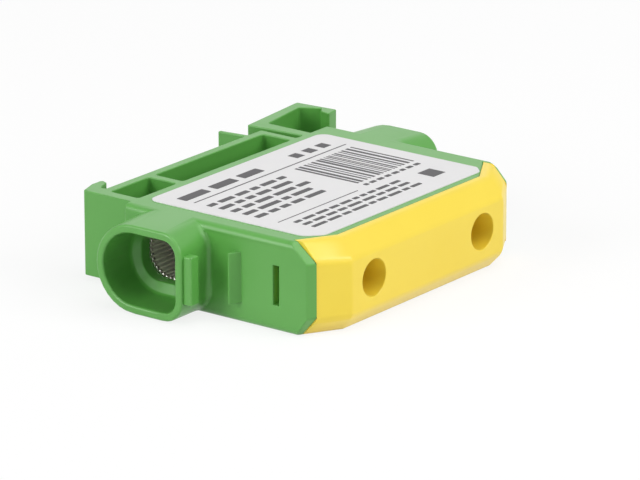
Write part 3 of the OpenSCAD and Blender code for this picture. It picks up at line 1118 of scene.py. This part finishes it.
@dataclass
class Label:
    """Adhesive label with plain printed lines and bars.

    Attributes:
        short_mm: How far in the right edge lies.
        corner_cut: Share of its size that the corner at the seam keeps.
        paragraphs: Bars that stand for words.
        rules_mm: Left, foot, width and height of each line.
        stripes_mm: Left, foot, right and top of the stripes.
        squares_mm: Left, foot and edge of each square.
    """

    node: str = "label"
    short_mm: float = 0.35
    corner_reach_mm: float = 3.5
    corner_cut: float = 0.72
    ink_mm: float = 0.03
    sink_mm: float = 0.01
    corner_mm: float = 0.16
    corner_segments: int = 3
    gap_share: float = 0.75
    paragraphs: tuple[Rows, ...] = (
        Rows(3.0, 23.0, 27.6, 1, 0.0, 2.0, (5.0, 9.0)),
        Rows(3.0, 22.5, 22.6, 5, 2.35, 1.1, (1.6, 5.2)),
        Rows(4.5, 33.0, 7.0, 3, 1.75, 0.8, (1.2, 3.8)),
        Rows(26.5, 42.0, 10.0, 1, 0.0, 0.8, (0.9, 1.6)),
    )
    rules_mm: tuple[tuple[float, float, float, float], ...] = (
        (3.0, 25.9, 39.3, 0.25),
        (3.0, 9.4, 20.5, 0.2),
    )
    stripes_mm: tuple[float, float, float, float] = (26.5, 11.8, 42.0, 24.4)
    stripe_widths_mm: tuple[float, float] = (0.22, 0.75)
    squares_mm: tuple[tuple[float, float, float], ...] = (
        (31.5, 27.6, 2.0),
        (35.0, 27.6, 2.0),
        (38.5, 27.6, 2.0),
        (36.5, 4.2, 3.2),
    )
    film: PrintedFilm = LABEL_FILM
    ink: PrintedFilm = LABEL_INK
    draw: random.Random = field(default_factory=lambda: random.Random(SEED))

    def add_bar(self, left: float, foot: float, width: float, height: float) -> None:
        """Add a flat bar to the print that is being edited.

        Args:
            left: Start of the bar, in millimetres from the label's left edge.
            foot: Foot of the bar, in millimetres from the label's screw side.
            width: Width of the bar in millimetres.
            height: Height of the bar in millimetres.
        """
        low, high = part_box(self.node)
        place = (
            low.x + (left + width / 2) * MM,
            low.y + (foot + height / 2) * MM,
            high.z - (self.ink_mm + self.sink_mm) * MM,
        )
        bpy.ops.mesh.primitive_plane_add(size=MM, location=place)
        bpy.ops.transform.resize(value=(width, height, 1), center_override=place)

    def add_words(self, rows: Rows) -> None:
        """Fill rows with bars of words' lengths.

        Args:
            rows: The paragraph.
        """
        for index in range(rows.count):
            left = rows.left_mm
            foot = rows.first_mm - index * rows.pitch_mm
            while left + rows.words_mm[0] < rows.right_mm:
                width = min(self.draw.uniform(*rows.words_mm), rows.right_mm - left)
                self.add_bar(left, foot, width, rows.height_mm)
                left += width + self.gap_share * rows.height_mm

    def add_stripes(self) -> None:
        """Add the block of plain upright stripes."""
        left, foot, right, top = self.stripes_mm
        while left < right:
            width = min(self.draw.uniform(*self.stripe_widths_mm), right - left)
            self.add_bar(left, foot, width, top - foot)
            left += width + self.draw.uniform(*self.stripe_widths_mm)

    def build_film(self) -> Piece:
        """Model the film, lowered by the thickness of the ink, with a sharper corner at the seam.

        Returns:
            The film.
        """
        obj = copy_of_node(self.node, "label_film")
        low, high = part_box(self.node)
        middle = (low + high) / 2
        corner = (high.x - self.short_mm * MM, low.y, 0)
        reach = self.corner_reach_mm * MM
        with editing(obj) as shape:
            choose(vert for vert in shape.verts if vert.co.z > middle.z)
            bpy.ops.transform.translate(value=(0, 0, -self.ink_mm * MM))
            choose(vert for vert in shape.verts if vert.co.x > middle.x)
            bpy.ops.transform.translate(value=(-self.short_mm * MM, 0, 0))
            choose(
                vert for vert in shape.verts
                if corner[0] - vert.co.x < reach and vert.co.y - corner[1] < reach
            )
            bpy.ops.transform.resize(
                value=(self.corner_cut, self.corner_cut, 1), center_override=corner
            )
        shade(obj)
        return obj

    def build_print(self) -> Piece:
        """Model the print as thin raised bars.

        Returns:
            The print.
        """
        bpy.ops.object.select_all(action="DESELECT")
        bpy.ops.mesh.primitive_plane_add(size=MM)
        obj = bpy.context.object
        obj.name = "label_print"
        obj.data.name = "label_print"
        with editing(obj):
            bpy.ops.mesh.select_all(action="SELECT")
            bpy.ops.mesh.delete(type="VERT")
            for rows in self.paragraphs:
                self.add_words(rows)
            bpy.ops.mesh.select_all(action="SELECT")
            bpy.ops.mesh.bevel(
                offset=self.corner_mm * MM,
                segments=self.corner_segments,
                affect="VERTICES",
                clamp_overlap=True,
            )
            self.add_stripes()
            for left, foot, width, height in self.rules_mm:
                self.add_bar(left, foot, width, height)
            for left, foot, side in self.squares_mm:
                self.add_bar(left, foot, side, side)
            bpy.ops.mesh.select_all(action="SELECT")
            up = (0, 0, (self.ink_mm + self.sink_mm) * MM)
            bpy.ops.mesh.extrude_region_move(TRANSFORM_OT_translate={"value": up})
            bpy.ops.mesh.select_all(action="SELECT")
            bpy.ops.mesh.normals_make_consistent(inside=False)
        shade(obj)
        return obj

    def build(self) -> None:
        """Model the film and its print and enter both in the frame."""
        film = self.build_film()
        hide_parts(self.node)
        enter(film, Body.BLOCK, self.film.material())
        enter(self.build_print(), Body.BLOCK, self.ink.material())


@dataclass(frozen=True)
class Viewpoint:
    """Camera at the photograph's viewing angle."""

    azimuth: float = math.radians(-52.692)
    elevation: float = math.radians(18.055)
    roll: float = math.radians(-0.102)
    distance: float = 0.786614
    target: tuple[float, float, float] = (-0.004944, -0.00808, 0.0075)
    lens_mm: float = 281.04
    sensor_mm: float = 36.0
    farthest: float = 20.0

    def build(self) -> None:
        """Place the camera and make it the scene's own."""
        flat = math.cos(self.elevation)
        back = Vector((
            math.sin(self.azimuth) * flat,
            -math.cos(self.azimuth) * flat,
            math.sin(self.elevation),
        ))
        level = Vector((math.cos(self.azimuth), math.sin(self.azimuth), 0.0))
        rise = back.cross(level)
        right = math.cos(self.roll) * level + math.sin(self.roll) * rise
        up = back.cross(right)
        turn = Matrix((right, up, back)).transposed().to_4x4()
        data = bpy.data.cameras.new("camera")
        data.lens = self.lens_mm
        data.sensor_width = self.sensor_mm
        data.clip_end = self.farthest
        camera = bpy.data.objects.new("camera", data)
        bpy.context.collection.objects.link(camera)
        camera.matrix_world = Matrix.Translation(Vector(self.target) + back * self.distance) @ turn
        bpy.context.scene.camera = camera


@dataclass(frozen=True)
class Softbox:
    """A soft studio lamp.

    Attributes:
        name: Name of the lamp.
        place: Where it stands, in metres.
        size: Edge of its square face, in metres.
        power: Its power in watts.
    """

    name: str
    place: tuple[float, float, float]
    size: float
    power: float

    def build(self) -> None:
        """Stand the lamp so that it faces the block."""
        data = bpy.data.lights.new(self.name, "AREA")
        data.size = self.size
        data.energy = self.power
        lamp = bpy.data.objects.new(self.name, data)
        lamp.location = self.place
        lamp.rotation_euler = Vector(self.place).to_track_quat("Z", "Y").to_euler()
        bpy.context.collection.objects.link(lamp)


@dataclass
class Studio:
    """Pale floor, soft lamps, white surround and the camera."""

    floor_size: float = 6.0
    floor_face: str = "EDEDED"
    floor_white: float = 1.05
    floor_share: float = 0.78
    ambient: float = 0.05
    viewpoint: Viewpoint = Viewpoint()
    lamps: tuple[Softbox, ...] = (
        Softbox("overhead softbox", (0.1, -0.25, 1.0), 0.9, 5.6),
        Softbox("front softbox", (0.25, -0.9, 0.55), 0.6, 5.7),
        Softbox("left softbox", (-0.9, 0.4, 0.45), 0.6, 6.8),
        Softbox("fill softbox", (-0.9, -0.5, 0.45), 0.6, 1.0),
        Softbox("rim softbox", (0.75, 0.55, 0.5), 0.6, 0.5),
    )

    def seen(self, tree: Tree) -> Socket:
        """Say whether a ray looks at a surface instead of lighting it.

        Args:
            tree: Node tree that asks.

        Returns:
            A socket that is one for camera, glossy and transmission rays.
        """
        path = add_node(tree, "ShaderNodeLightPath").outputs
        looked = work_out(tree, "MAXIMUM", path["Is Camera Ray"], path["Is Glossy Ray"])
        return work_out(tree, "MAXIMUM", looked, path["Is Transmission Ray"])

    def floor_material(self) -> bpy.types.Material:
        """Build the floor's material, white to look at with the shadow kept.

        Returns:
            The finished material.
        """
        made = new_material("white studio paper")
        tree = made.node_tree
        paper = add_node(tree, "ShaderNodeBsdfDiffuse", {"Color": linear(self.floor_face)})
        share = work_out(tree, "MULTIPLY", self.seen(tree), self.floor_share)
        white = add_node(tree, "ShaderNodeEmission", {"Strength": self.floor_white})
        both = add_node(
            tree, "ShaderNodeMixShader", {0: share, 1: paper.outputs[0], 2: white.outputs[0]}
        )
        add_node(tree, "ShaderNodeOutputMaterial", {"Surface": both.outputs[0]})
        return made

    def build_floor(self) -> None:
        """Lay the floor under the block."""
        bpy.ops.object.select_all(action="DESELECT")
        bpy.ops.mesh.primitive_plane_add(size=self.floor_size)
        floor = bpy.context.object
        floor.name = "floor"
        floor.data.materials.append(self.floor_material())

    def build_surround(self) -> None:
        """Set an even surround that is white to look at."""
        world = bpy.data.worlds.new("white surround")
        bpy.context.scene.world = world
        world.use_nodes = True
        tree = world.node_tree
        tree.nodes.clear()
        level = spread(tree, self.seen(tree), self.ambient, 1.0)
        back = add_node(tree, "ShaderNodeBackground", {"Strength": level})
        add_node(tree, "ShaderNodeOutputWorld", {"Surface": back.outputs[0]})

    def build(self) -> None:
        """Set up the whole studio."""
        self.build_floor()
        self.build_surround()
        for lamp in self.lamps:
            lamp.build()
        self.viewpoint.build()
        bpy.context.scene.view_settings.view_transform = "Standard"


def main() -> None:
    """Build the block's pieces and the studio."""
    logging.basicConfig(level=logging.INFO, format="%(name)s: %(message)s")
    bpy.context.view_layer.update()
    Studio().build()
    Housing().build()
    FrontCover().build()
    TerminalBar().build()
    ClampScrews().build()
    Label().build()


if __name__ == "__main__":
    main()
